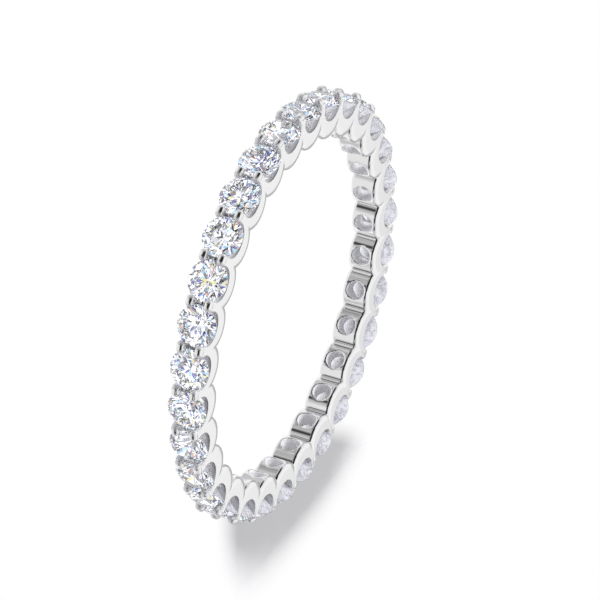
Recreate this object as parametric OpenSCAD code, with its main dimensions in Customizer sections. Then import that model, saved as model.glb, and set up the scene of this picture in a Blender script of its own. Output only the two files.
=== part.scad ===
// Full eternity ring: a polished band with a scalloped inside, round-bottomed side cuts
// and shared claws, set all the way round with round brilliants.
// The ring lies on its side: its axis is Z, and its lowest girdles touch z = 0.

/* [Finger] */
// Diameter of the finger opening, across the crowns of the inner bumps
finger_d = 17.0; // [15:0.1:21]
// How far the notches between the inner bumps lie outside the finger circle
notch_rise = 0.46; // [0.3:0.01:0.5]

/* [Band] */
// Width of the band between its flat sides
band_w = 1.38; // [1.3:0.02:1.8]
// Metal between the finger circle and the bottom of a side cut
rail_h = 0.93; // [0.8:0.01:1]
// Radius of the rounding that eases the crowns of the inner bumps at both side faces
ease_r = 0.25; // [0.22:0.01:0.4]
// How far the eased crowns reach up the side faces from the finger circle
ease_h = 0.2; // [0.1:0.01:0.2]
// Radius of the rounding along the shoulders of the posts, beside the claws
shoulder_r = 0.15; // [0.08:0.01:0.2]
// Diameter of the light hole under each stone
hole_d = 0.9; // [0.6:0.02:1]

/* [Stones] */
// Girdle diameter of each stone
stone_d = 2.0; // [1.8:0.05:2.3]
// Least gap between the girdles of neighbouring stones
stone_gap = 0.12; // [0.05:0.01:0.15]
// Height of the middle of the girdle above the finger circle
girdle_h = 1.755; // [1.7:0.005:2]
// Thickness of the girdle
girdle_t = 0.06; // [0.04:0.01:0.1]
// Width of the table across its corners
table_d = 1.14; // [1:0.01:1.2]
// Angle of the main crown facets above the girdle plane
crown_angle = 34.5; // [30:0.5:37]
// Angle of the main pavilion facets below the girdle plane
pavilion_angle = 40.75; // [39:0.25:43]
// Share of the way from table to girdle that the star facets take
star_reach = 0.5; // [0.4:0.05:0.6]
// Share of the way from girdle to culet that the lower girdle facets take
lower_reach = 0.77; // [0.7:0.01:0.85]

/* [Setting] */
// Width of the ledge on which each post carries a girdle
ledge_w = 0.12; // [0.1:0.01:0.2]
// Thickness of a claw, measured across the band
claw_d = 0.43; // [0.36:0.01:0.46]
// How far a claw laps over each of its two stones
claw_lap = 0.23; // [0.15:0.01:0.3]
// Height of the middle of a claw above the middle of the girdle
claw_h = 0.3; // [0.15:0.01:0.35]
// Width of the groove that parts the two claws of a post
groove_w = 0.46; // [0.36:0.02:0.48]
// Setback of the claws from the side faces
claw_inset = 0.01; // [0.01:0.01:0.05]
// Clearance between a stone and its seat
seat_gap = 0.02; // [0.01:0.01:0.04]

/* [Hidden] */
// Segments of a full circle
$fn = 96;
finger_r = finger_d / 2;
stone_r = stone_d / 2;
girdle_r = finger_r + girdle_h;
// As many stones as fit round the girdle circle, evenly spread
stone_n = floor(180 / asin((stone_d + stone_gap) / (2 * girdle_r)));
step = 360 / stone_n;
pitch = 2 * girdle_r * sin(step / 2);

// The lowest girdles rest on z = 0
mid_z = max(stone_d, band_w) / 2;

// Inner bumps: circles through neighbouring notches that touch the finger circle
notch_r = finger_r + notch_rise;
bump_sag = notch_r * cos(step / 2) - finger_r;
bump_r = (pow(notch_r * sin(step / 2), 2) + pow(bump_sag, 2)) / (2 * bump_sag);

// Side cuts: a round bottom under the stone, then straight walls outwards
cut_r = stone_r - ledge_w;
cut_mid = finger_r + rail_h + cut_r;

// Claws: rounded bars along the ring, seated in the tops of the posts
claw_mid = girdle_r + claw_h;
claw_l = pitch - stone_d + 2 * claw_lap;
claw_z = band_w / 2 - claw_inset - claw_d / 2;

// Stone levels along the stone's own axis, from the middle of the girdle
table_r = table_d / 2;
crown_top = girdle_t / 2 + (stone_r - table_r) * tan(crown_angle);
star_r = table_r * cos(22.5) + star_reach * (stone_r - table_r * cos(22.5));
star_z = girdle_t / 2 + (stone_r - star_r * cos(22.5)) * tan(crown_angle);
lower_r = (1 - lower_reach) * stone_r;
lower_z = -girdle_t / 2 - (stone_r - lower_r * cos(22.5)) * tan(pavilion_angle);
culet_z = -girdle_t / 2 - stone_r * tan(pavilion_angle);
// The facets are cut a little past the girdle, whose rim is then ground round
cut_over = 1.002 * stone_r / cos(11.25) - stone_r;

function stone_name(i) = str("stone_", i < 10 ? "0" : "", i);

// Puts its children, modelled about +Z with the finger below, at place i round the ring
module at_place(i, radius) {
  translate([0, 0, mid_z])
    rotate([0, 0, i * step])
      translate([radius, 0, 0])
        rotate([0, 90, 0])
          children();
}

// Side view of the band: overlapping round bumps, cut off at the claws' middle,
// less a round-bottomed cut under every stone
module side_outline() {
  difference() {
    circle(r = claw_mid);
    difference() {
      circle(r = finger_r + bump_r);
      for (i = [1 : stone_n])
        rotate(i * step)
          translate([finger_r + bump_r, 0])
            circle(r = bump_r);
    }
    for (i = [1 : stone_n])
      rotate(i * step)
        translate([cut_mid, 0]) {
          circle(r = cut_r);
          translate([0, -cut_r])
            square([claw_mid, 2 * cut_r]);
        }
  }
}

// Section through the band, radius along X: eased crowns inside, round shoulders outside
module band_section() {
  half_w = band_w / 2;
  inner = finger_r - ease_h;
  ease_mid = finger_r + ease_h;
  shoulder_mid = claw_mid - shoulder_r;
  difference() {
    translate([inner, -half_w])
      square([claw_mid - inner, band_w]);
    for (side = [0, 1])
      mirror([0, side]) {
        difference() {
          translate([inner - ease_r, half_w - ease_r])
            square([ease_mid - inner + ease_r, 2 * ease_r]);
          translate([ease_mid, half_w - ease_r])
            circle(r = ease_r);
        }
        difference() {
          translate([shoulder_mid, half_w - shoulder_r])
            square(2 * shoulder_r);
          translate([shoulder_mid, half_w - shoulder_r])
            circle(r = shoulder_r);
        }
      }
  }
}

// The band before stones and claws
module blank() {
  intersection() {
    translate([0, 0, -band_w / 2])
      linear_extrude(height = band_w)
        side_outline();
    rotate_extrude()
      band_section();
  }
}

// One claw: a bar with round ends, lying along the ring at height 0
module claw() {
  straight = claw_l - claw_d;
  rotate([90, 0, 0])
    rotate_extrude()
      intersection() {
        union() {
          for (end = [-1, 1])
            translate([0, end * straight / 2])
              circle(d = claw_d);
          square([claw_d, straight], center = true);
        }
        translate([0, -claw_l])
          square([claw_d, 2 * claw_l]);
      }
}

// The space that a stone needs with its clearance, and the light hole below it
module seat() {
  r_mid = stone_r + seat_gap;
  r_low = lower_r + seat_gap;
  r_star = star_r + seat_gap;
  open_z = claw_h + claw_d;
  // Where the wall of the light hole meets the cone under the girdle
  hole_z = lower_z + (hole_d / 2 - r_low) * (lower_z + girdle_t / 2) / (r_low - r_mid);
  rotate_extrude()
    polygon([
      [0, -girdle_h - notch_rise],
      [hole_d / 2, -girdle_h - notch_rise],
      [hole_d / 2, hole_z],
      [r_mid, -girdle_t / 2 - seat_gap],
      [r_mid, girdle_t / 2 + seat_gap],
      [r_star, star_z + seat_gap],
      [table_r + seat_gap, crown_top + seat_gap],
      [table_r + seat_gap, open_z],
      [0, open_z]
    ]);
}

// The groove round the ring that parts the claws
module groove() {
  translate([0, 0, mid_z])
    rotate_extrude() {
      translate([girdle_r, 0])
        circle(d = groove_w);
      translate([girdle_r, -groove_w / 2])
        square([claw_h + claw_d, groove_w]);
    }
}

module band() {
  color("silver")
    difference() {
      union() {
        translate([0, 0, mid_z])
          blank();
        for (i = [1 : stone_n], side = [-1, 1])
          at_place(i - 0.5, claw_mid)
            translate([side * claw_z, 0, 0])
              claw();
      }
      for (i = [1 : stone_n])
        at_place(i, girdle_r)
          seat();
      groove();
    }
}

function ring_points(count, radius, z, turn) =
  [for (k = [0 : count - 1])
    [radius * cos(turn + k * 360 / count), radius * sin(turn + k * 360 / count), z]];

// Round brilliant about its own axis: table, star, main and girdle facets, pointed culet
module brilliant() {
  edge_r = stone_r + cut_over;
  top_z = girdle_t / 2 - cut_over * tan(crown_angle);
  bottom_z = -girdle_t / 2 + cut_over * tan(pavilion_angle);
  points = concat(
    ring_points(8, table_r, crown_top, 0),
    ring_points(8, star_r, star_z, 22.5),
    ring_points(16, edge_r, top_z, 0),
    ring_points(16, edge_r, bottom_z, 0),
    ring_points(8, lower_r, lower_z, 22.5),
    [[0, 0, culet_z]]
  );
  table = 0;
  star = 8;
  top = 16;
  bottom = 32;
  lower = 48;
  culet = 56;
  intersection() {
    cylinder(r = stone_r, h = 4 * stone_r, center = true);
    polyhedron(
      points = points,
      faces = concat(
        [[for (k = [7 : -1 : 0]) table + k]],
        [for (k = [0 : 7]) [table + k, table + (k + 1) % 8, star + k]],
        [for (k = [0 : 7]) [table + k, star + k, top + 2 * k, star + (k + 7) % 8]],
        [for (k = [0 : 7]) [star + k, top + 2 * k + 1, top + 2 * k]],
        [for (k = [0 : 7]) [star + k, top + (2 * k + 2) % 16, top + 2 * k + 1]],
        [for (k = [0 : 15])
          [top + k, top + (k + 1) % 16, bottom + (k + 1) % 16, bottom + k]],
        [for (k = [0 : 7]) [lower + k, bottom + 2 * k, bottom + 2 * k + 1]],
        [for (k = [0 : 7]) [lower + k, bottom + 2 * k + 1, bottom + (2 * k + 2) % 16]],
        [for (k = [0 : 7]) [culet, lower + (k + 7) % 8, bottom + 2 * k, lower + k]]
      )
    );
  }
}

module stone(i) {
  color("lightcyan")
    at_place(i, girdle_r)
      brilliant();
}

band();
for (i = [1 : stone_n])
  stone(i);
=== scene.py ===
"""Looks of the full eternity ring: a polished white-gold band set with round brilliants.

The part's own frame is in metres, with the ring's axis along Z and the floor at Z = 0. The
band is worked out in millimetres and made in metres. A stone sits at every twelve degrees,
one of them on the +X axis.
"""

import logging
import math
from dataclasses import dataclass, field
from enum import Enum

import bpy
import numpy as np
from mathutils import Matrix, Vector


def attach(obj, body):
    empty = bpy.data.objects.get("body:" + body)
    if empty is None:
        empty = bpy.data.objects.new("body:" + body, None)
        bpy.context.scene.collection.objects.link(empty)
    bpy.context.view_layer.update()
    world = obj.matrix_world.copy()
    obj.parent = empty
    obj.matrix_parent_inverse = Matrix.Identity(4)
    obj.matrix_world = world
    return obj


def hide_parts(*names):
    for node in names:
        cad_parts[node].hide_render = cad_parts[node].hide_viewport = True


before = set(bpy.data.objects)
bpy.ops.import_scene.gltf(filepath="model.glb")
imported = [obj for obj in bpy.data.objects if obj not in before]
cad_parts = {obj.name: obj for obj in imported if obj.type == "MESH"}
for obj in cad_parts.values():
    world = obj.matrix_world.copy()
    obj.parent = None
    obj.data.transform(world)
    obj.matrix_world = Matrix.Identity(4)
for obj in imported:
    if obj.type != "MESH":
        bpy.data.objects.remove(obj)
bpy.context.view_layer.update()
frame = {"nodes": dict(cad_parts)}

log = logging.getLogger("eternity_ring")
Colour = tuple[float, float, float]
Tone = tuple[float, float, float, float]
MM = 0.001
TINY = 1e-12
# The photograph's width in pixels, and the width of the camera's sensor in millimetres
PHOTO_PX = 600.0
SENSOR = 36.0
# Marks at the corners of the band's faces that tell where its polish is less and where
# shade and dark reflections are painted into its colour
SIDE_CUT_MARK = "side_cut"
# Dark shade painted round the mouths of the side cuts
CUT_MOUTH_SHADE_MARK = "painted_cut_mouth_shade"
LIGHT_HOLE_MARK = "light_hole"
CLAW_TIP_MARK = "claw_tip"
# The mix node's inputs for a share and two colours, and its output for a colour
COLOUR_INPUTS = (0, 6, 7)
COLOUR_OUTPUT = 2


class Slot(Enum):
    """Names of the material slots."""

    METAL = "metal"
    STONE = "stone"


class Join(Enum):
    """How two fields are joined into one."""

    BOTH = 1.0
    EITHER = -1.0


def rounded(a: np.ndarray, b: np.ndarray, radius: float, join: Join) -> np.ndarray:
    """Joins two distance fields with a round edge of one radius.

    The rounded intersection is min(max(a, b), -r) + length(max(a + r, 0), max(b + r, 0)),
    and the rounded union is minus that of minus a and minus b.

    Args:
        a: Distances to the first solid, below zero inside it.
        b: Distances to the second solid.
        radius: Radius of the edge where the two meet.
        join: BOTH keeps what lies in both solids, EITHER what lies in one of them.

    Returns:
        The distances to the joined solid.
    """
    sign = join.value
    p, q = sign * a, sign * b
    corner = np.hypot(np.maximum(p + radius, 0.0), np.maximum(q + radius, 0.0))
    return sign * (np.minimum(np.maximum(p, q), -radius) + corner)


def cut(solid: np.ndarray, tool: np.ndarray, radius: float) -> np.ndarray:
    """The solid less the tool, with the new edge rounded by the radius."""
    return rounded(solid, -tool, radius, Join.BOTH)


def gather(index: np.ndarray, rows: np.ndarray, count: int) -> np.ndarray:
    """For each number below the count, the sum of the rows that carry it as their index."""
    return np.stack([np.bincount(index, column, count) for column in rows.T], -1)


def unit(vectors: np.ndarray) -> np.ndarray:
    """The vectors over their lengths."""
    return vectors / np.maximum(np.linalg.norm(vectors, axis=-1, keepdims=True), TINY)


def direction(azimuth: float, elevation: float = 0.0) -> np.ndarray:
    """Unit vector at an azimuth a and an elevation e: (cos e cos a, cos e sin a, sin e).

    Args:
        azimuth: Angle about the ring's axis from +X, in degrees.
        elevation: Angle above the floor, in degrees.

    Returns:
        The vector.
    """
    a, e = math.radians(azimuth), math.radians(elevation)
    return np.array([math.cos(e) * math.cos(a), math.cos(e) * math.sin(a), math.sin(e)])


def new_mesh(
    name: str, points: np.ndarray, faces: list[list[int]], flat: bool
) -> bpy.types.Object:
    """Makes an object of points in metres and faces.

    Args:
        name: Name of the object and its mesh.
        points: One row of coordinates for each point.
        faces: The point numbers of each face.
        flat: Whether each face is shaded flat.

    Returns:
        The object, linked to the scene.
    """
    mesh = bpy.data.meshes.new(name)
    mesh.from_pydata(points.tolist(), [], faces, shade_flat=flat)
    mesh.update()
    made = bpy.data.objects.new(name, mesh)
    bpy.context.scene.collection.objects.link(made)
    return made


@dataclass
class RingSizes:
    """Sizes in millimetres that the band and its stones share, as in the part's source."""

    finger_r: float = 8.5
    notch_rise: float = 0.46
    band_w: float = 1.38
    rail_h: float = 0.93
    hole_d: float = 0.9
    stone_d: float = 2.0
    girdle_h: float = 1.755
    girdle_t: float = 0.06
    stones: int = 30
    mid_z: float = 1.0
    step: float = field(init=False)
    girdle_r: float = field(init=False)
    pitch: float = field(init=False)

    def __post_init__(self) -> None:
        """Works out the angle between stones, the girdle circle and the stones' pitch."""
        self.step = 2.0 * math.pi / self.stones
        self.girdle_r = self.finger_r + self.girdle_h
        self.pitch = 2.0 * self.girdle_r * math.sin(self.step / 2.0)


@dataclass
class PolishedBand:
    """The cast band with its posts, ledges and claws, as one surface with eased edges.

    Its shape is a distance field in one twelve-degree sector, which is meshed once and
    carried round the ring.
    """

    sizes: RingSizes
    # Radii of the edges, and how deep and how far up the side faces are dished
    ease: float = 0.13
    crease: float = 0.006
    rim_edge: float = 0.07
    shoulder: float = 0.15
    dish: float = 0.045
    dish_w: float = 0.3
    # Posts, claws and seats, as in the part's source
    ledge_w: float = 0.12
    claw_d: float = 0.43
    claw_lap: float = 0.23
    claw_h: float = 0.3
    claw_inset: float = 0.01
    groove_w: float = 0.46
    seat_gap: float = 0.02
    pavilion: float = math.radians(40.75)
    crown: float = math.radians(34.5)
    # How near to a wall counts as on it, and how far the marks reach from there
    on_wall: float = 0.012
    mouth_h: float = 0.8
    mouth_w: float = 0.24
    tip_from: tuple[float, float] = (0.1, 0.2)
    # The sector's grid: cells along the ring, outwards, and upwards from the middle
    columns: int = 28
    radial_cells: tuple[tuple[float, float, int], ...] = (
        (8.43, 9.1, 11), (9.1, 9.36, 3), (9.36, 10.78, 19),
    )
    wide_cells: tuple[int, float] = (7, 0.08)
    fine_cells: tuple[int, float] = (3, 0.046)
    headroom: float = 0.02
    # How the surface is found in the grid and its slope is read
    halvings: int = 16
    pull: float = 0.01
    leeway: float = 0.6
    landings: int = 2
    nudge: float = 1e-4
    probe: float = 0.02
    sharp: float = math.radians(20.0)

    def outline(self, x: np.ndarray, y: np.ndarray, z: np.ndarray) -> np.ndarray:
        """Distance to the rail with its inner bumps and flat sides.

        Each bump is a round slot, a circle that runs on outwards as two straight walls.
        The side faces fall away towards it by a share of the square of how near it is,
        and meet it in a round edge that follows the bump.

        Args:
            x: Distance outwards along the stone's axis.
            y: Distance along the ring from the stone's axis.
            z: Height above the middle of the band.

        Returns:
            The distance field of the rail.
        """
        s = self.sizes
        notch_r = s.finger_r + s.notch_rise
        sag = notch_r * math.cos(s.step / 2.0) - s.finger_r
        bump_r = ((notch_r * math.sin(s.step / 2.0)) ** 2 + sag**2) / (2.0 * sag)
        bump = np.hypot(np.minimum(x - s.finger_r - bump_r, 0.0), y) - bump_r
        near = np.maximum(1.0 + bump / self.dish_w, 0.0)
        side = np.abs(z) - s.band_w / 2.0 + self.dish * near**2
        return rounded(bump, side, self.ease, Join.BOTH)

    def side_cut(self, x: np.ndarray, y: np.ndarray) -> np.ndarray:
        """Distance to the cut under a stone: a round bottom and two straight walls.

        Args:
            x: Distance outwards along the stone's axis.
            y: Distance along the ring from the stone's axis.

        Returns:
            The distance field of the cut, which runs right through the band.
        """
        wall_r = self.sizes.stone_d / 2.0 - self.ledge_w
        bottom = self.sizes.finger_r + self.sizes.rail_h + wall_r
        return np.hypot(np.minimum(x - bottom, 0.0), y) - wall_r

    def claws(self, xp: np.ndarray, yp: np.ndarray, z: np.ndarray) -> np.ndarray:
        """Distance to the claws: bars with round ends that lie along the ring on a post.

        Args:
            xp: Distance outwards along the post's axis.
            yp: Distance along the ring from the post's axis.
            z: Height above the middle of the band.

        Returns:
            The distance field of both claws of the nearest post.
        """
        s = self.sizes
        length = s.pitch - s.stone_d + 2.0 * self.claw_lap
        side = s.band_w / 2.0 - self.claw_inset - self.claw_d / 2.0
        along = np.maximum(yp - (length - self.claw_d) / 2.0, 0.0)
        out = xp - s.girdle_r - self.claw_h
        return np.sqrt(along**2 + out**2 + (np.abs(z) - side) ** 2) - self.claw_d / 2.0

    def seat(self, x: np.ndarray, y: np.ndarray, z: np.ndarray) -> np.ndarray:
        """Distance to the room that a stone takes: cones above and below its girdle.

        Args:
            x: Distance outwards along the stone's axis.
            y: Distance along the ring from the stone's axis.
            z: Height above the middle of the band.

        Returns:
            The distance field of one stone with its clearance.
        """
        s = self.sizes
        out = np.hypot(y, z)
        up = x - s.girdle_r
        rim = s.stone_d / 2.0 + self.seat_gap
        level = s.girdle_t / 2.0 + self.seat_gap
        below = ((out - rim) * math.sin(self.pavilion)
                 - (up + level) * math.cos(self.pavilion))
        above = ((out - rim) * math.sin(self.crown)
                 + (up - level) * math.cos(self.crown))
        return np.maximum(np.maximum(below, above), out - rim)

    def fold(self, turn: np.ndarray) -> np.ndarray:
        """Angle from the nearest stone's axis, in radians."""
        return np.abs(np.mod(turn + self.sizes.step / 2.0, self.sizes.step)
                      - self.sizes.step / 2.0)

    def local(self, points: np.ndarray) -> tuple[np.ndarray, ...]:
        """Places seen from the nearest stone's axis and from the nearest post's.

        With the angle t from such an axis, x = r cos t outwards and y = r sin t along
        the ring.

        Args:
            points: Angle, radius and height in the last axis.

        Returns:
            x and y from the stone's axis, then x and y from the post's.
        """
        r, turn = points[..., 1], self.fold(points[..., 0])
        rest = self.sizes.step / 2.0 - turn
        return r * np.cos(turn), r * np.sin(turn), r * np.cos(rest), r * np.sin(rest)

    def matt_and_shade_marks(self, points: np.ndarray) -> dict[str, np.ndarray]:
        """Where the polish is less, and shade and dark reflections are painted: the side
        cuts, the light holes and the claws' tips.

        A point is on a wall if its distance to that wall's shape is nearly nought. The mark
        of a cut's mouth, where dark shade is painted, is one at the side face, at the
        bottom of the cut, and falls to nought inwards and up the walls. The mark of a
        claw's tip grows along the claw.

        Args:
            points: Angle, radius and height in the last axis.

        Returns:
            The marks by name, one for each point, from nought to one.
        """
        s = self.sizes
        r, z = points[..., 1], points[..., 2]
        x, y, xp, yp = self.local(points)
        wall = np.abs(self.side_cut(x, y)) < self.on_wall
        bore = np.abs(np.hypot(y, z) - s.hole_d / 2.0) < self.on_wall
        deep = r < s.finger_r + s.rail_h
        low = np.clip(1.0 - (x - s.finger_r - s.rail_h) / self.mouth_h, 0.0, 1.0)
        near = np.clip(1.0 - (s.band_w / 2.0 - np.abs(z)) / self.mouth_w, 0.0, 1.0)
        claw = np.abs(self.claws(xp, yp, z)) < self.on_wall
        start, full = self.tip_from
        return {
            SIDE_CUT_MARK: wall.astype(float),
            CUT_MOUTH_SHADE_MARK: wall * low * near,
            LIGHT_HOLE_MARK: (bore & deep).astype(float),
            CLAW_TIP_MARK: claw * np.clip((yp - start) / (full - start), 0.0, 1.0),
        }

    def depth(self, points: np.ndarray) -> np.ndarray:
        """Distance from the points to the band's surface, below zero in the metal.

        The angle is folded about the stone's axis and about the post's, so every sector
        and both its halves are alike.

        Args:
            points: Angle in radians, radius and height in millimetres, in the last axis.

        Returns:
            One distance for each point.
        """
        s = self.sizes
        r, z = points[..., 1], points[..., 2]
        x, y, xp, yp = self.local(points)
        top = s.girdle_r + self.claw_h
        solid = rounded(self.outline(x, y, z), r - top, self.shoulder, Join.BOTH)
        solid = cut(solid, self.side_cut(x, y), self.crease)
        solid = rounded(solid, self.claws(xp, yp, z), self.crease, Join.EITHER)
        solid = cut(solid, self.seat(x, y, z), self.crease)
        solid = cut(solid, np.hypot(y, z) - s.hole_d / 2.0, self.rim_edge)
        groove = np.hypot(np.minimum(r - s.girdle_r, 0.0), z) - self.groove_w / 2.0
        return cut(solid, groove, self.crease)

    def slope(self, points: np.ndarray) -> np.ndarray:
        """Unit direction in which the distance grows, in turned coordinates.

        Each part is the difference of two nearby distances; the part along the angle is
        divided by the radius, so the three parts are lengths along the ring, outwards
        and up.

        Args:
            points: Angle, radius and height in the last axis.

        Returns:
            Unit vectors along the ring, outwards and up.
        """
        parts = []
        for axis in range(3):
            shift = np.zeros(3)
            shift[axis] = self.nudge
            rise = self.depth(points + shift) - self.depth(points - shift)
            parts.append(rise / (2.0 * self.nudge))
        parts[0] = parts[0] / points[..., 1]
        return unit(np.stack(parts, -1))

    def grid(self) -> tuple[np.ndarray, np.ndarray, np.ndarray]:
        """Node positions of one sector: fine where edges are eased, wider in between.

        The angle starts half a cell before the post's axis, so that cells straddle the
        post's and the stone's axes, and the heights straddle the middle in the same way.

        Returns:
            The angles, radii and heights of the nodes.
        """
        s = self.sizes
        cell = s.step / self.columns
        turns = (np.arange(self.columns + 1) - 0.5) * cell - s.step / 2.0
        radii = np.concatenate(
            [np.linspace(a, b, n, endpoint=False) for a, b, n in self.radial_cells])
        radii = np.append(radii, self.radial_cells[-1][1])
        (wide_n, wide), (fine_n, fine) = self.wide_cells, self.fine_cells
        upper = np.concatenate([(np.arange(wide_n) + 0.5) * wide,
                                wide_n * wide + np.arange(1, fine_n + 1) * fine,
                                [s.band_w / 2.0 + self.headroom]])
        return turns, radii, np.concatenate([-upper[::-1], upper])

    def crossings(
        self, nodes: np.ndarray, values: np.ndarray, axis: int
    ) -> tuple[np.ndarray, np.ndarray]:
        """Where the surface cuts the grid's edges along one axis.

        Halving each cut edge again and again finds the crossing.

        Args:
            nodes: Grid nodes, angle, radius and height in the last axis.
            values: Distances at the nodes.
            axis: Which way the edges run.

        Returns:
            Whether each edge is cut, and the cut points of those that are.
        """
        count = values.shape[axis] - 1
        low = np.take(values, range(count), axis)
        high = np.take(values, range(1, count + 1), axis)
        crossed = (low < 0.0) != (high < 0.0)
        a = np.take(nodes, range(count), axis)[crossed]
        b = np.take(nodes, range(1, count + 1), axis)[crossed]
        inside = (low < 0.0)[crossed]
        for _ in range(self.halvings):
            middle = (a + b) / 2.0
            keep = ((self.depth(middle) < 0.0) == inside)[:, None]
            a, b = np.where(keep, middle, a), np.where(keep, b, middle)
        return crossed, (a + b) / 2.0

    @staticmethod
    def turn(vectors: np.ndarray, angle: np.ndarray) -> np.ndarray:
        """Turns vectors about the ring's axis: x' = c x - s y, y' = s x + c y, z' = z.

        Args:
            vectors: Vectors or points in straight coordinates.
            angle: The angle of each, in radians.

        Returns:
            The turned vectors.
        """
        c, s = np.cos(angle), np.sin(angle)
        x, y, z = np.moveaxis(vectors, -1, 0)
        return np.stack([c * x - s * y, s * x + c * y, z], -1)

    def straight(self, points: np.ndarray, vectors: np.ndarray) -> np.ndarray:
        """Vectors at points of the ring, in straight coordinates.

        At an angle of nought, outwards is x and along the ring is y, so such a vector
        is turned by its point's angle.

        Args:
            points: Angle, radius and height in the last axis.
            vectors: Their parts along the ring, outwards and up.

        Returns:
            Their x, y and z.
        """
        along, out, up = np.moveaxis(vectors, -1, 0)
        return self.turn(np.stack([out, along, up], -1), points[..., 0])

    def place(self, points: np.ndarray) -> np.ndarray:
        """Turned points in straight coordinates: x = r cos a, y = r sin a, z = z."""
        return self.straight(points, points * np.array([0.0, 1.0, 1.0]))

    def settle(
        self, cell: np.ndarray, points: np.ndarray, normals: np.ndarray
    ) -> tuple[np.ndarray, np.ndarray]:
        """One surface point for each cell that the surface passes through.

        Each cut edge gives a plane, its cut point with the surface's slope there. The
        cell's point has the least sum of squared distances to its planes, with a weak
        pull to the middle of the cut points, so it falls into a corner or on an edge
        where the planes form one.

        Args:
            cell: The cell that each cut edge belongs to.
            points: Cut points in straight coordinates.
            normals: Unit normals at the cut points.

        Returns:
            The cells passed through, and their points.
        """
        used, index = np.unique(cell, return_inverse=True)
        share = np.bincount(index)[:, None]
        middle = gather(index, points, len(used)) / share
        offset = np.einsum("ij,ij->i", normals, points - middle[index])
        squares = np.einsum("ia,ib->iab", normals, normals).reshape(-1, 9)
        square = gather(index, squares, len(used)).reshape(-1, 3, 3)
        square += self.pull * np.eye(3) * share[..., None]
        right = gather(index, normals * offset[:, None], len(used))
        return used, middle + np.linalg.solve(square, right[..., None])[..., 0]

    def sector(self) -> tuple[np.ndarray, np.ndarray, np.ndarray]:
        """Meshes one sector: a point in each cell passed through, a face at each cut edge.

        Returns:
            The points in turned coordinates, the faces' point numbers, and for each of
            their corners whether it lies in the sector before.
        """
        turns, radii, heights = self.grid()
        nodes = np.stack(np.meshgrid(turns, radii, heights, indexing="ij"), -1)
        values = self.depth(nodes)
        shape = tuple(count - 1 for count in values.shape)
        cells, cuts, slopes, quads, wraps = [], [], [], [], []
        for axis in range(3):
            crossed, points = self.crossings(nodes, values, axis)
            place = np.stack(np.nonzero(crossed), -1)
            slope = self.straight(points, self.slope(points))
            points = self.place(points)
            outward = np.take(values, range(crossed.shape[axis]), axis)[crossed] < 0.0
            u, v = (axis + 1) % 3, (axis + 2) % 3
            ring = []
            for du, dv in ((-1, -1), (0, -1), (0, 0), (-1, 0)):
                cell = place.copy()
                cell[:, u] += du
                cell[:, v] += dv
                ring.append(cell)
                real = (cell[:, 0] >= 0) & (cell[:, 0] < shape[0])
                cells.append(np.ravel_multi_index(tuple(cell[real].T), shape))
                cuts.append(points[real])
                slopes.append(slope[real])
            ring = np.stack(ring, 1)
            ring[outward] = ring[outward][:, ::-1]
            ring = ring[place[:, 0] < shape[0]]
            wraps.append((ring[..., 0] < 0).astype(int))
            ring[..., 0] %= shape[0]
            quads.append(np.ravel_multi_index(tuple(np.moveaxis(ring, -1, 0)), shape))
        used, spots = self.settle(*(np.concatenate(a) for a in (cells, cuts, slopes)))
        faces = np.searchsorted(used, np.concatenate(quads))
        wraps = np.concatenate(wraps)
        i, j, k = np.unravel_index(used, shape)
        turned = np.stack(
            [np.arctan2(spots[:, 1], spots[:, 0]), np.hypot(spots[:, 0], spots[:, 1]),
             spots[:, 2]], -1)
        low = np.stack([turns[i], radii[j], heights[k]], -1)
        high = np.stack([turns[i + 1], radii[j + 1], heights[k + 1]], -1)
        room = self.leeway * (high - low)
        return self.land(np.clip(turned, low - room, high + room)), faces, wraps

    def land(self, turned: np.ndarray) -> np.ndarray:
        """Moves points onto the surface, down the slope by the distance that is left.

        Args:
            turned: Angle, radius and height of the points in the last axis.

        Returns:
            The moved points.
        """
        for _ in range(self.landings):
            move = self.depth(turned)[..., None] * self.slope(turned)
            turned = turned - np.stack([move[..., 0] / turned[..., 1], *move.T[1:]], -1)
        return turned

    def corner_looks(
        self, turned: np.ndarray, faces: np.ndarray, wraps: np.ndarray
    ) -> tuple[np.ndarray, dict[str, np.ndarray]]:
        """Shading normals of the faces' corners, from the field's slope, and their marks.

        Both are read a hair from the corner towards the face's middle, so the two sides
        of a crease keep their own. Where the normals that share a point agree, they take
        their mean.

        Args:
            turned: The sector's points, angle, radius and height.
            faces: Point numbers of the faces' corners.
            wraps: Which corners lie in the sector before.

        Returns:
            Unit normals and the marks of less polish and painted shade, one for each corner
            of each face.
        """
        corners = turned[faces]
        corners[..., 0] -= wraps * self.sizes.step
        inward = self.place(corners.mean(1, keepdims=True)) - self.place(corners)
        share = self.probe / np.linalg.norm(inward, axis=-1, keepdims=True)
        inner = corners + share * (corners.mean(1, keepdims=True) - corners)
        normals = self.straight(corners, self.slope(inner))
        home = self.turn(normals, wraps * self.sizes.step)
        flat, point = home.reshape(-1, 3), faces.ravel()
        mean = unit(gather(point, flat, len(turned)))
        apart = np.einsum("ij,ij->i", flat, mean[point])
        worst = np.ones(len(turned))
        np.minimum.at(worst, point, apart)
        smooth = (worst > math.cos(self.sharp))[point][:, None]
        home = np.where(smooth, mean[point], flat).reshape(home.shape)
        return self.turn(home, -wraps * self.sizes.step), self.matt_and_shade_marks(inner)

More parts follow.
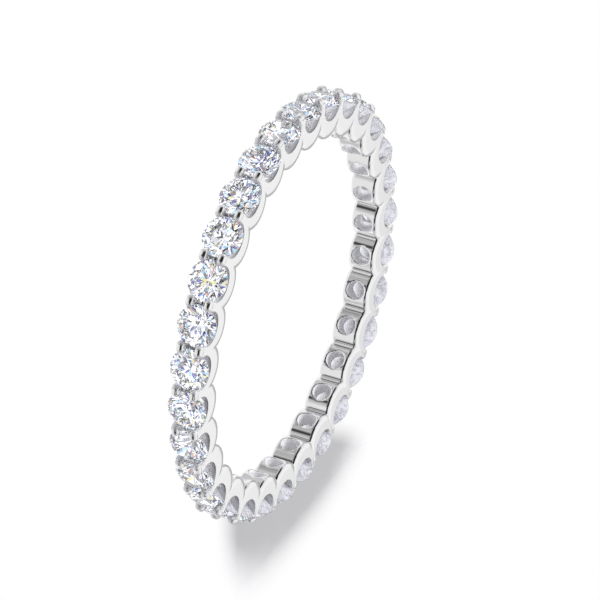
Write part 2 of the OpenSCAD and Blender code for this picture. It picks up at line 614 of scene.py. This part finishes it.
    def build(self) -> bpy.types.Object:
        """Carries the sector's mesh round the ring and joins it into one closed surface.

        Returns:
            The band, in place of the CAD node.
        """
        s = self.sizes
        turned, faces, wraps = self.sector()
        normals, marks = self.corner_looks(turned, faces, wraps)
        spots = self.place(turned)
        order = np.arange(s.stones)
        angle = order * s.step
        points = self.turn(np.tile(spots, (s.stones, 1, 1)), angle[:, None])
        owner = (order[:, None, None] - wraps) % s.stones
        rings = faces[None] + owner * len(spots)
        shading = self.turn(np.tile(normals, (s.stones, 1, 1, 1)), angle[:, None, None])
        points = (points.reshape(-1, 3) + np.array([0.0, 0.0, s.mid_z])) * MM
        band = new_mesh("polished_band", points, rings.reshape(-1, 4).tolist(), flat=False)
        band.data.normals_split_custom_set(shading.reshape(-1, 3))
        for name, mark in marks.items():
            made = band.data.attributes.new(name, "FLOAT", "CORNER")
            made.data.foreach_set("value", np.tile(mark.ravel(), s.stones))
        return band


@dataclass(frozen=True)
class Graph:
    """A material's or world's node tree, with short ways to add and link nodes."""

    tree: bpy.types.NodeTree

    def add(self, kind: str, **values: object) -> bpy.types.Node:
        """Adds a node and sets its sockets by name and its settings by attribute.

        Args:
            kind: The node's type name.
            **values: A number or colour for the input of that name with spaces for
                underscores, or an attribute of the node, or another node's output.

        Returns:
            The node.
        """
        made = self.tree.nodes.new(kind)
        for key, value in values.items():
            name = key.replace("_", " ")
            if hasattr(made, key):
                setattr(made, key, value)
            elif isinstance(value, bpy.types.NodeSocket):
                self.tree.links.new(value, made.inputs[name])
            else:
                made.inputs[name].default_value = value
        return made

    def feed(self, node: bpy.types.Node, index: int, value: object) -> None:
        """Links an output to a node's input, or sets a plain value there.

        Args:
            node: The node.
            index: The input's number.
            value: Another node's output, a number or a colour.
        """
        if isinstance(value, bpy.types.NodeSocket):
            self.tree.links.new(value, node.inputs[index])
        else:
            node.inputs[index].default_value = value

    def math(self, operation: str, *values: object) -> bpy.types.NodeSocket:
        """Works out one sum of numbers.

        Args:
            operation: The sum's name.
            *values: Outputs or plain numbers.

        Returns:
            The result.
        """
        made = self.add("ShaderNodeMath", operation=operation)
        for index, value in enumerate(values):
            self.feed(made, index, value)
        return made.outputs[0]

    def vector(self, operation: str, *values: object) -> bpy.types.NodeSocket:
        """Works out one sum of directions.

        Args:
            operation: The sum's name.
            *values: Outputs or plain directions.

        Returns:
            The result: a number for a product or a length, otherwise a direction.
        """
        made = self.add("ShaderNodeVectorMath", operation=operation)
        for index, value in enumerate(values):
            self.feed(made, index, value)
        return made.outputs["Value" if operation in ("DOT_PRODUCT", "LENGTH") else "Vector"]

    def mix(self, share: object, a: object, b: object) -> bpy.types.NodeSocket:
        """Mixes two colours.

        Args:
            share: How much of the second there is, from nought to one.
            a: The colour at nought.
            b: The colour at one.

        Returns:
            The mixed colour.
        """
        made = self.add("ShaderNodeMix", data_type="RGBA")
        for index, value in zip(COLOUR_INPUTS, (share, a, b)):
            self.feed(made, index, value)
        return made.outputs[COLOUR_OUTPUT]

    def span(
        self, value: bpy.types.NodeSocket, given: tuple[float, float],
        wanted: tuple[float, float] = (0.0, 1.0), smooth: bool = False
    ) -> bpy.types.NodeSocket:
        """Carries a value from one range to another, held at both ends.

        Args:
            value: The value.
            given: The range that the value has.
            wanted: What the two ends become.
            smooth: Whether it eases in and out instead of running straight.

        Returns:
            The carried value.
        """
        return self.add(
            "ShaderNodeMapRange", interpolation_type="SMOOTHSTEP" if smooth else "LINEAR",
            Value=value, From_Min=given[0], From_Max=given[1],
            To_Min=wanted[0], To_Max=wanted[1]).outputs[0]

    def blend(self, share: object, a: bpy.types.Node, b: bpy.types.Node) -> bpy.types.Node:
        """Mixes two shaders.

        Args:
            share: How much of the second there is, from nought to one.
            a: The shader at nought.
            b: The shader at one.

        Returns:
            The mixed shader.
        """
        made = self.add("ShaderNodeMixShader")
        for index, value in enumerate((share, a.outputs[0], b.outputs[0])):
            self.feed(made, index, value)
        return made


def new_material(name: str) -> tuple[bpy.types.Material, Graph]:
    """Makes a material with an empty node tree.

    Args:
        name: The material's name.

    Returns:
        The material and its graph.
    """
    material = bpy.data.materials.new(name)
    material.use_nodes = True
    material.node_tree.nodes.clear()
    return material, Graph(material.node_tree)


@dataclass(frozen=True)
class ShadedMattSpot:
    """How a mark changes the gold: its painted shade tone, added roughness and lost mirror.
    """

    mark: str
    tone: Tone
    rougher: float = 0.0
    less_mirror: float = 0.0


@dataclass(frozen=True)
class PolishedGold:
    """White gold under rhodium, polished: a bright mirror with the faintest haze.

    The side cuts, where no wheel reaches, are matt, with a slightly darker tone that is
    painted shade, and their mouths are painted dark grey as shade. The drilled light holes
    and the claws' tips, filed down over the stones, are satin; the holes' darker grey is
    painted shade and the tips' darker grey is a painted dark reflection.
    """

    colour: Tone = (0.90, 0.90, 0.905, 1.0)
    shaded_matt_spots: tuple[ShadedMattSpot, ...] = (
        # Side cuts: matt, and a little darker as painted shade
        ShadedMattSpot(SIDE_CUT_MARK, (0.8, 0.8, 0.805, 1.0), 0.12, 0.55),
        # Mouths of the cuts: painted dark shade
        ShadedMattSpot(CUT_MOUTH_SHADE_MARK, (0.14, 0.14, 0.145, 1.0)),
        # Light holes: satin, and darker grey as painted shade of the hole
        ShadedMattSpot(LIGHT_HOLE_MARK, (0.77, 0.77, 0.775, 1.0), 0.36, 0.75),
        # Claws' tips: satin, and darker grey as a painted dark reflection
        ShadedMattSpot(CLAW_TIP_MARK, (0.62, 0.62, 0.625, 1.0), 0.06, 0.4),
    )
    haze: tuple[float, float] = (0.05, 0.11)
    cloud_scale: float = 900.0
    cloud_detail: float = 4.0
    grain_scale: float = 9000.0
    grain_detail: float = 2.0
    grain_strength: float = 0.02
    grain_depth: float = 0.01 * MM
    edge_radius: float = 0.03 * MM
    edge_samples: int = 6

    def material(self) -> bpy.types.Material:
        """Clouds of haze turn the roughness, and a very fine grain stirs the surface.

        Returns:
            The material.
        """
        made, graph = new_material("white_gold")
        place = graph.add("ShaderNodeTexCoord").outputs["Object"]
        clouds = graph.add("ShaderNodeTexNoise", Vector=place, Scale=self.cloud_scale,
                           Detail=self.cloud_detail)
        rough = graph.span(clouds.outputs[0], (0.0, 1.0), self.haze)
        colour, mirror = self.colour, 1.0
        # Each mark mixes in its tone of painted shade and dulls the mirror
        for spot in self.shaded_matt_spots:
            mark = graph.add("ShaderNodeAttribute", attribute_name=spot.mark).outputs["Fac"]
            colour = graph.mix(mark, colour, spot.tone)
            rough = graph.math("MULTIPLY_ADD", mark, spot.rougher, rough)
            mirror = graph.math("MULTIPLY_ADD", mark, -spot.less_mirror, mirror)
        grain = graph.add("ShaderNodeTexNoise", Vector=place, Scale=self.grain_scale,
                          Detail=self.grain_detail)
        edges = graph.add("ShaderNodeBevel", samples=self.edge_samples,
                          Radius=self.edge_radius)
        stir = graph.add("ShaderNodeBump", Height=grain.outputs[0],
                         Strength=self.grain_strength, Distance=self.grain_depth,
                         Normal=edges.outputs[0])
        surface = graph.add("ShaderNodeBsdfPrincipled", Base_Color=colour, Metallic=mirror,
                            Roughness=rough, Normal=stir.outputs[0])
        graph.add("ShaderNodeOutputMaterial", Surface=surface.outputs[0])
        return made


@dataclass(frozen=True)
class ClearStone:
    """Colourless brilliant, clear from above, with a ground girdle and milky underside."""

    refraction: float = 2.42
    haze: float = 0.2
    milk: tuple[float, float] = (0.4, 1.0)
    streak_scale: float = 3200.0
    streak_detail: float = 1.0
    streak_twist: float = 1.5
    streak_range: tuple[float, float] = (0.4, 0.6)
    ground: float = 0.45
    underside: float = -0.3
    rim: float = 0.2
    cloud_scale: float = 700.0
    cloud_detail: float = 2.0
    clear_tints: tuple[Tone, ...] = (
        (0.985, 0.985, 1.0, 1.0), (1.0, 1.0, 1.0, 1.0),
    )
    # Milky underside, then the tip's greyer tint, which is painted shade of the light hole
    milk_and_tip_shade_tints: tuple[Tone, ...] = (
        (0.94, 0.94, 0.975, 1.0), (0.8, 0.8, 0.81, 1.0),
    )
    tip_reach: tuple[float, float] = (9.65 * MM, 9.95 * MM)

    def material(self) -> bpy.types.Material:
        """Clear where the facets face outwards, milky on the underside and the girdle.

        The part of the normal along the ring's radius tells the sides of a stone apart:
        about one on the table, nought on the girdle and below the underside's limit on
        the pavilion. The milkiness of the pavilion is only on its outer face. It lets
        streaks of clear stone through, but not at the tip, which lies in the light hole
        and is painted greyer as the hole's shade.

        Returns:
            The material.
        """
        made, graph = new_material("brilliant")
        shape = graph.add("ShaderNodeNewGeometry")
        place = graph.add("ShaderNodeTexCoord").outputs["Object"]
        flat = graph.vector("MULTIPLY", place, (1.0, 1.0, 0.0))
        facing = graph.vector("DOT_PRODUCT", shape.outputs["Normal"],
                              graph.vector("NORMALIZE", flat))
        outer = graph.math("SUBTRACT", 1.0, shape.outputs["Backfacing"])
        under = graph.math("MULTIPLY", outer,
                           graph.math("LESS_THAN", facing, self.underside))
        girdle = graph.math("LESS_THAN", graph.math("ABSOLUTE", facing), self.rim)
        rough = graph.math("MULTIPLY_ADD", under, self.haze,
                           graph.math("MULTIPLY", girdle, self.ground))
        tip = graph.span(graph.vector("LENGTH", flat), self.tip_reach, (1.0, 0.0))
        cloud = graph.add("ShaderNodeTexNoise", Vector=place, Scale=self.cloud_scale,
                          Detail=self.cloud_detail)
        # The tip's greyer tint is painted shade of the light hole
        tint = graph.mix(under, graph.mix(cloud.outputs[0], *self.clear_tints),
                         graph.mix(tip, *self.milk_and_tip_shade_tints))
        streaks = graph.add("ShaderNodeTexNoise", Vector=place, Scale=self.streak_scale,
                            Detail=self.streak_detail, Distortion=self.streak_twist)
        milk = graph.math("MAXIMUM", tip,
                          graph.span(streaks.outputs[0], self.streak_range, self.milk))
        clear = graph.math("SUBTRACT", 1.0, graph.math("MULTIPLY", under, milk))
        surface = graph.add("ShaderNodeBsdfPrincipled", Base_Color=tint, Roughness=rough,
                            IOR=self.refraction, Transmission_Weight=clear)
        graph.add("ShaderNodeOutputMaterial", Surface=surface.outputs[0])
        return made


@dataclass
class StoneRow:
    """The thirty round brilliants, which stay the CAD model's own faceted solids."""

    finish: ClearStone
    nodes: dict[str, bpy.types.Object]

    def dress(self) -> list[str]:
        """Gives every stone the clear finish.

        Returns:
            The stones' names.
        """
        material = self.finish.material()
        stones = [node for name, node in self.nodes.items() if name.startswith("stone_")]
        for stone in stones:
            stone.data.materials.clear()
            stone.data.materials.append(material)
            stone.data.shade_flat()
        return [stone.name for stone in stones]


@dataclass
class ViewCamera:
    """The camera at the photograph's viewing angle; lengths are in millimetres."""

    azimuth: float = 72.77
    elevation: float = 21.477
    roll: float = 105.944
    distance: float = 245.08
    focal_px: float = 5112.86
    aside: float = -0.672
    upward: float = -0.287
    aim_z: float = 1.0
    reach: tuple[float, float] = (10.0, 10000.0)

    def axes(self) -> np.ndarray:
        """Works out the camera's axes from its azimuth, elevation and roll, in degrees.

        Returns:
            Rows: the camera's right, its up, and the direction back to it.
        """
        roll = math.radians(self.roll)
        back = direction(self.azimuth, self.elevation)
        right = direction(self.azimuth + 90.0)
        up = np.cross(back, right)
        return np.array([
            math.cos(roll) * right + math.sin(roll) * up,
            math.cos(roll) * up - math.sin(roll) * right,
            back,
        ])

    def build(self) -> bpy.types.Object:
        """Makes the camera and sets it as the scene's.

        Returns:
            The camera.
        """
        right, up, back = self.axes()
        place = self.distance * back - self.aside * right - self.upward * up
        place = (place + np.array([0.0, 0.0, self.aim_z])) * MM
        lens = bpy.data.cameras.new("view")
        lens.sensor_width = SENSOR
        lens.lens = self.focal_px / PHOTO_PX * SENSOR
        lens.clip_start, lens.clip_end = self.reach[0] * MM, self.reach[1] * MM
        made = bpy.data.objects.new("view", lens)
        matrix = np.eye(4)
        matrix[:3] = np.column_stack([right, up, back, place])
        made.matrix_world = Matrix(matrix.tolist())
        bpy.context.scene.collection.objects.link(made)
        bpy.context.scene.camera = made
        return made


@dataclass
class SoftPanel:
    """A soft white panel that lights one thing, with the others in its way, in metres.

    Mirrors don't show it; the walls are what they show.
    """

    name: str
    azimuth: float
    elevation: float
    power: float
    size: tuple[float, float] = (0.16, 0.11)
    distance: float = 0.5

    def build(self, lit: bpy.types.Object) -> bpy.types.Object:
        """Hangs the panel at its azimuth and elevation, in degrees, facing the ring.

        Args:
            lit: What alone takes the panel's light.

        Returns:
            The light.
        """
        towards = Vector(direction(self.azimuth, self.elevation))
        light = bpy.data.lights.new(self.name, "AREA")
        light.shape = "RECTANGLE"
        light.size, light.size_y = self.size
        light.energy = self.power
        made = bpy.data.objects.new(self.name, light)
        made.location = towards * self.distance
        made.rotation_euler = towards.to_track_quat("Z", "Y").to_euler()
        made.visible_glossy = False
        takers = bpy.data.collections.new(f"{self.name}_takers")
        takers.objects.link(lit)
        made.light_linking.receiver_collection = takers
        bpy.context.scene.collection.objects.link(made)
        return made


@dataclass(frozen=True)
class LightBar:
    """A soft-edged upright area of the studio's walls with its own light, in degrees."""

    azimuth: float
    low: float
    high: float
    width: float
    soft: float
    level: float

    def edge(
        self, graph: Graph, value: bpy.types.NodeSocket, low: float, high: float
    ) -> bpy.types.NodeSocket:
        """One between low and high, nought outside them, smooth across the soft rim.

        Args:
            graph: The world's graph.
            value: An angle in radians.
            low: Where the area starts, in degrees.
            high: Where it ends.

        Returns:
            The share that lies inside.
        """
        middle, half = (low + high) / 2.0, (high - low) / 2.0
        away = graph.math("ABSOLUTE", graph.math("SUBTRACT", value, math.radians(middle)))
        rim = (math.radians(half - self.soft / 2.0), math.radians(half + self.soft / 2.0))
        return graph.span(away, rim, (1.0, 0.0), smooth=True)

    def shade(
        self, graph: Graph, towards: bpy.types.NodeSocket, light: bpy.types.NodeSocket
    ) -> bpy.types.NodeSocket:
        """Lays the bar over the light so far.

        The azimuth is the arctangent of the direction's parts across and along the bar's
        middle, and the elevation the arcsine of its height.

        Args:
            graph: The world's graph.
            towards: The direction looked in.
            light: The light so far.

        Returns:
            The light with the bar.
        """
        across = graph.vector("DOT_PRODUCT", towards, direction(self.azimuth + 90.0))
        along = graph.vector("DOT_PRODUCT", towards, direction(self.azimuth))
        up = graph.vector("DOT_PRODUCT", towards, (0.0, 0.0, 1.0))
        half = self.width / 2.0
        inside = graph.math(
            "MULTIPLY",
            self.edge(graph, graph.math("ARCTAN2", across, along), -half, half),
            self.edge(graph, graph.math("ARCSINE", up), self.low, self.high))
        return graph.mix(inside, light, (self.level, self.level, self.level, 1.0))


@dataclass(frozen=True)
class Flecks:
    """The small lights and darks that the stones throw back."""

    scale: float = 14.0
    stops: tuple[tuple[float, Colour], ...] = (
        (0.0, (1.5, 1.5, 1.55)),
        (0.385, (0.01, 0.01, 0.02)),
        (0.555, (0.92, 0.96, 1.04)),
        (0.65, (0.28, 0.29, 0.32)),
        (0.725, (0.1, 0.09, 0.5)),
        (0.805, (0.5, 0.92, 1.35)),
        (0.88, (0.95, 0.42, 0.2)),
        (0.905, (0.42, 0.48, 0.42)),
        (0.96, (1.2, 1.12, 0.6)),
    )

    def shade(self, graph: Graph, towards: bpy.types.NodeSocket) -> bpy.types.NodeSocket:
        """Cells of the direction, each with one light of the list picked by chance.

        Args:
            graph: The world's graph.
            towards: The direction looked in.

        Returns:
            The light.
        """
        cells = graph.add("ShaderNodeTexVoronoi", Vector=towards, Scale=self.scale)
        parts = graph.add("ShaderNodeSeparateColor", Color=cells.outputs["Color"])
        ramp = graph.add("ShaderNodeValToRGB", Fac=parts.outputs[0])
        ramp.color_ramp.interpolation = "CONSTANT"
        steps = ramp.color_ramp.elements
        # New stops start anywhere and are moved to their places below
        while len(steps) < len(self.stops):
            steps.new(0.5)
        for step, (place, colour) in zip(steps, self.stops):
            step.position = place
            step.color = (*colour, 1.0)
        return ramp.outputs[0]


@dataclass(frozen=True)
class FloorGlow:
    """A side of the floor that glows in full beyond a soft edge.

    The azimuth is in degrees, and the edge's start and end are in millimetres.
    """

    azimuth: float
    start: float
    end: float

    def shade(self, graph: Graph, place: bpy.types.NodeSocket) -> bpy.types.NodeSocket:
        """The share of the glow: one beyond the edge's end, nought before its start.

        Args:
            graph: The floor's nodes.
            place: A point of the floor.

        Returns:
            The share.
        """
        reach = graph.vector("DOT_PRODUCT", place, direction(self.azimuth))
        return graph.span(reach, (self.start * MM, self.end * MM), smooth=True)


@dataclass
class Studio:
    """A plain white floor and soft white light from all round."""

    bars: tuple[LightBar, ...]
    floor_panels: tuple[SoftPanel, ...]
    band_panels: tuple[SoftPanel, ...]
    glows: tuple[FloorGlow, ...]
    flecks: Flecks = Flecks()
    # The floor's shape, and its paper with the full glow inside the ring
    floor_z: float = -0.02 * MM
    floor_sides: int = 64
    floor_rings: tuple[float, ...] = (0.02, 0.1, 0.3, 1.0)
    paper: Tone = (0.35, 0.35, 0.35, 1.0)
    white: Tone = (1.0, 1.0, 1.0, 1.0)
    least_glow: float = 0.3
    ring_reach: tuple[float, float] = (9.0 * MM, 10.6 * MM)
    # The clouds between the bars, the even fill, and how often light is passed on
    sky: tuple[float, float] = (0.3, 0.72)
    cloud_scale: float = 5.0
    cloud_detail: float = 1.0
    cloud_range: tuple[float, float] = (0.3, 0.7)
    fill: Tone = (1.0, 1.0, 1.07, 1.0)
    bounces: int = 20
    mirror_bounces: int = 12
    clear_bounces: int = 16

    def floor(self) -> bpy.types.Object:
        """Lays a flat round floor: rings of x = r cos t, y = r sin t, and a middle.

        Returns:
            The floor.
        """
        n = self.floor_sides
        turns, radii = np.meshgrid(np.arange(n) * 2.0 * math.pi / n, self.floor_rings)
        rim = np.stack([radii * np.cos(turns), radii * np.sin(turns),
                        np.full(turns.shape, self.floor_z)], -1).reshape(-1, 3)
        ring, around = np.meshgrid(np.arange(len(self.floor_rings) - 1), np.arange(n),
                                   indexing="ij")
        a, b = ring * n + around, ring * n + (around + 1) % n
        faces = np.stack([a, a + n, b + n, b], -1).reshape(-1, 4).tolist()
        made = new_mesh("floor", rim, [*faces, list(range(n))], flat=True)
        made.data.materials.append(self.floor_finish())
        return made

    def floor_finish(self) -> bpy.types.Material:
        """White paper that glows, so that the ring's shadow on it stays pale.

        The glow is full inside the ring and on the glows' sides, and weak elsewhere. Only
        the camera sees the paper: the metal and stones see the walls through it.

        Returns:
            The material.
        """
        material, graph = new_material("white_floor")
        place = graph.add("ShaderNodeTexCoord").outputs["Object"]
        share = graph.span(graph.vector("LENGTH", place), self.ring_reach,
                           (1.0, self.least_glow))
        for glow in self.glows:
            share = graph.math("MAXIMUM", share, glow.shade(graph, place))
        dull = graph.add("ShaderNodeBsdfDiffuse", Color=self.paper)
        shine = graph.add("ShaderNodeEmission", Color=self.white, Strength=1.0)
        seen = graph.add("ShaderNodeLightPath").outputs["Is Camera Ray"]
        mixed = graph.blend(seen, graph.add("ShaderNodeBsdfTransparent"),
                            graph.blend(share, dull, shine))
        graph.add("ShaderNodeOutputMaterial", Surface=mixed.outputs[0])
        return material

    def light(self) -> None:
        """Lights the walls, which differ by the kind of ray that looks at them.

        Mirrored rays see the bars over faint clouds, rays through a stone see the flecks,
        and all others an even fill.
        """
        world = bpy.data.worlds.new("studio")
        bpy.context.scene.world = world
        world.use_nodes = True
        world.node_tree.nodes.clear()
        graph = Graph(world.node_tree)
        towards = graph.add("ShaderNodeTexCoord").outputs["Generated"]
        clouds = graph.add("ShaderNodeTexNoise", Vector=towards, Scale=self.cloud_scale,
                           Detail=self.cloud_detail)
        light = graph.span(clouds.outputs[0], self.cloud_range, self.sky)
        for bar in self.bars:
            light = bar.shade(graph, towards, light)
        path = graph.add("ShaderNodeLightPath").outputs
        light = graph.mix(path["Is Glossy Ray"], self.fill, light)
        flecks = self.flecks.shade(graph, towards)
        light = graph.mix(path["Is Transmission Ray"], light, flecks)
        walls = graph.add("ShaderNodeBackground", Strength=1.0, Color=light)
        graph.add("ShaderNodeOutputWorld", Surface=walls.outputs[0])

    def build(self, band: bpy.types.Object) -> None:
        """Lays the floor, lights the walls, hangs the panels and sets the light's paths.

        Args:
            band: The band, whose matt cuts have panels of their own.
        """
        floor = self.floor()
        self.light()
        for panel in self.floor_panels:
            panel.build(floor)
        for panel in self.band_panels:
            panel.build(band)
        scene = bpy.context.scene
        scene.view_settings.view_transform = "Standard"
        scene.cycles.max_bounces = self.bounces
        scene.cycles.glossy_bounces = self.mirror_bounces
        scene.cycles.transmission_bounces = self.clear_bounces


def studio_bars(side: float) -> tuple[LightBar, ...]:
    """The lights and darks that the polished metal mirrors.

    Args:
        side: The azimuth of the photograph's viewing side, in degrees.

    Returns:
        The bars, each laid over those before it: azimuth, lowest and highest elevation,
        width, soft rim and light.
    """
    all_round = 800.0
    return (
        # White below and overhead
        LightBar(side, -100.0, -36.0, all_round, 16.0, 0.92),
        LightBar(side, 62.0, 100.0, all_round, 16.0, 1.0),
        # Broad white wall opposite, with the grey line that contours the near side faces
        LightBar(side + 180.0, -60.0, 75.0, 130.0, 50.0, 0.97),
        LightBar(side + 180.0, -20.0, 20.0, 110.0, 4.0, 0.5),
        # White low down to the right, for the lit halves of the inner bumps
        LightBar(side + 42.0, -60.0, -5.0, 60.0, 24.0, 0.85),
        # Pale wall on the viewing side, with the dark strip that the claws and edges show
        LightBar(side, -13.0, 66.0, 210.0, 12.0, 0.85),
        LightBar(side, -3.0, 38.0, 190.0, 10.0, 0.25),
        LightBar(side, -5.0, 45.0, 170.0, 14.0, 0.02),
        LightBar(side - 18.0, -12.0, 58.0, 66.0, 16.0, 0.015),
        LightBar(side - 6.0, -40.0, 5.0, 12.0, 8.0, 0.04),
        # Pale window in that strip, which keeps the far side faces pale
        LightBar(side + 62.0, 18.0, 33.0, 20.0, 8.0, 0.8),
        # White low down behind, on both sides
        LightBar(side + 115.0, -60.0, -8.0, 40.0, 20.0, 0.97),
        LightBar(side - 125.0, -60.0, -8.0, 40.0, 20.0, 0.97),
    )


def photo_studio(side: float) -> Studio:
    """The studio whose reflections and shadow are like the photograph's.

    Args:
        side: The azimuth of the photograph's viewing side, in degrees.

    Returns:
        The studio, not yet built.
    """
    return Studio(
        bars=studio_bars(side),
        floor_panels=(
            SoftPanel("key", azimuth=side - 19.0, elevation=10.6, power=31.0),
            SoftPanel("low_side_light", azimuth=side - 47.0, elevation=8.2, power=17.0,
                      size=(0.12, 0.11)),
        ),
        band_panels=(
            SoftPanel("cut_light", azimuth=side - 92.0, elevation=48.0, power=2.7),
        ),
        glows=(
            FloorGlow(azimuth=side + 37.0, start=1.6, end=5.6),
            FloorGlow(azimuth=side + 128.0, start=13.6, end=18.4),
            FloorGlow(azimuth=side + 270.0, start=-6.8, end=-4.6),
        ),
    )


def main() -> None:
    """Builds the band, dresses the stones, and sets the studio and the camera."""
    sizes = RingSizes()
    band = PolishedBand(sizes).build()
    band.data.materials.append(PolishedGold().material())
    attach(band, "root")
    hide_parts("band")
    log.info("%s: %d faces", band.name, len(band.data.polygons))
    for name in StoneRow(ClearStone(), frame["nodes"]).dress():
        log.info("%s: dressed", name)
    view = ViewCamera()
    studio = photo_studio(view.azimuth)
    studio.build(band)
    panels = studio.floor_panels + studio.band_panels
    log.info("floor, walls and %d panels: set", len(panels))
    log.info("%s: set", view.build().name)


if __name__ == "__main__":
    logging.basicConfig(level=logging.INFO, format="%(name)s: %(message)s")
    main()
